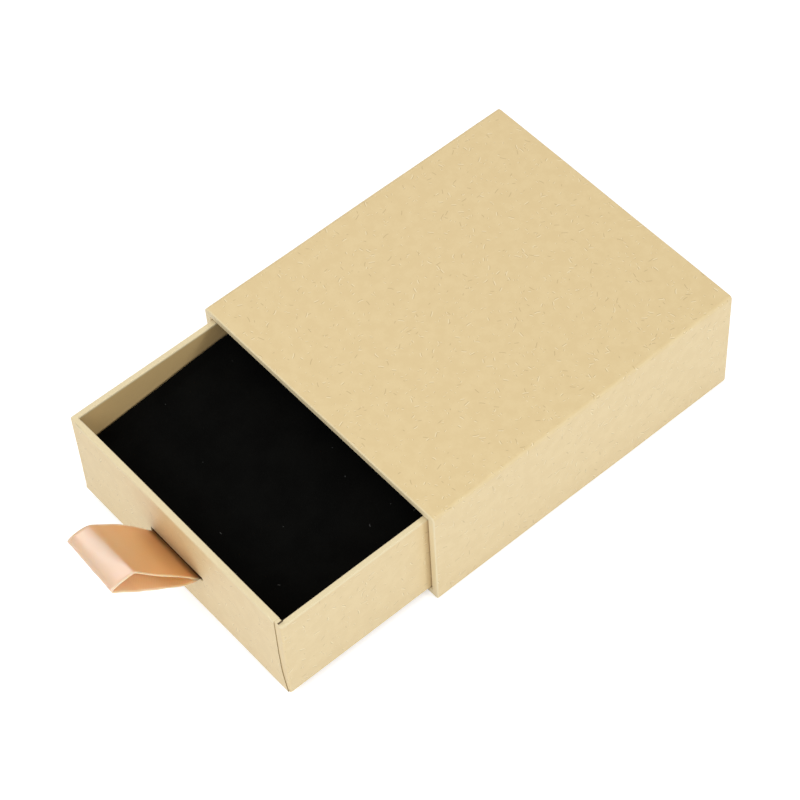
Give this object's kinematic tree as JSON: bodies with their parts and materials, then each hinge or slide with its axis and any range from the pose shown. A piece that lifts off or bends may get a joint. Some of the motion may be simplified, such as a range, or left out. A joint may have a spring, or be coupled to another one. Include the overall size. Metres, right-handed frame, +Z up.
{
  "type": "drawer gift box",
  "caption": "Paper-covered board sleeve with a sliding drawer that holds a velvet jewellery pad and is drawn out by a folded satin ribbon.",
  "frame": {"origin": "centre of the sleeve's underside, on the surface that the box stands on", "axes": "+Z up; the drawer comes out along -Y; +X to the right when facing the drawer's front"},
  "size_m": [0.07, 0.1353, 0.0299],
  "materials": {
    "greyboard": "matte",
    "gummed_tape": "matte",
    "kraft_paper": "matte",
    "kraft_lining": "matte",
    "foam": "matte",
    "velvet": "matte",
    "satin_ribbon": "satin"
  },
  "bodies": {
    "sleeve": {"sleeve_top_board": "greyboard", "sleeve_bottom_board": "greyboard", "sleeve_left_board": "greyboard", "sleeve_right_board": "greyboard", "sleeve_back_board": "greyboard", "sleeve_top_left_tape": "gummed_tape", "sleeve_top_right_tape": "gummed_tape", "sleeve_bottom_left_tape": "gummed_tape", "sleeve_bottom_right_tape": "gummed_tape", "sleeve_wrap": "kraft_paper", "sleeve_base_sheet": "kraft_paper", "sleeve_back_sheet": "kraft_paper", "sleeve_lining": "kraft_lining"},
    "drawer": {"drawer_bottom_board": "greyboard", "drawer_front_board": "greyboard", "drawer_back_board": "greyboard", "drawer_left_board": "greyboard", "drawer_right_board": "greyboard", "drawer_front_left_stay": "gummed_tape", "drawer_front_right_stay": "gummed_tape", "drawer_back_left_stay": "gummed_tape", "drawer_back_right_stay": "gummed_tape", "drawer_wrap": "kraft_paper", "foam_pad": "foam", "velvet_cover": "velvet", "ribbon_pull": "satin_ribbon", "ribbon_tape": "gummed_tape"}
  },
  "joints": [
    {"name": "drawer_slide", "type": "slide", "parent": "sleeve", "child": "drawer", "axis": [0, -1, 0], "range_m": [-0.036, 0.0465]}
  ]
}
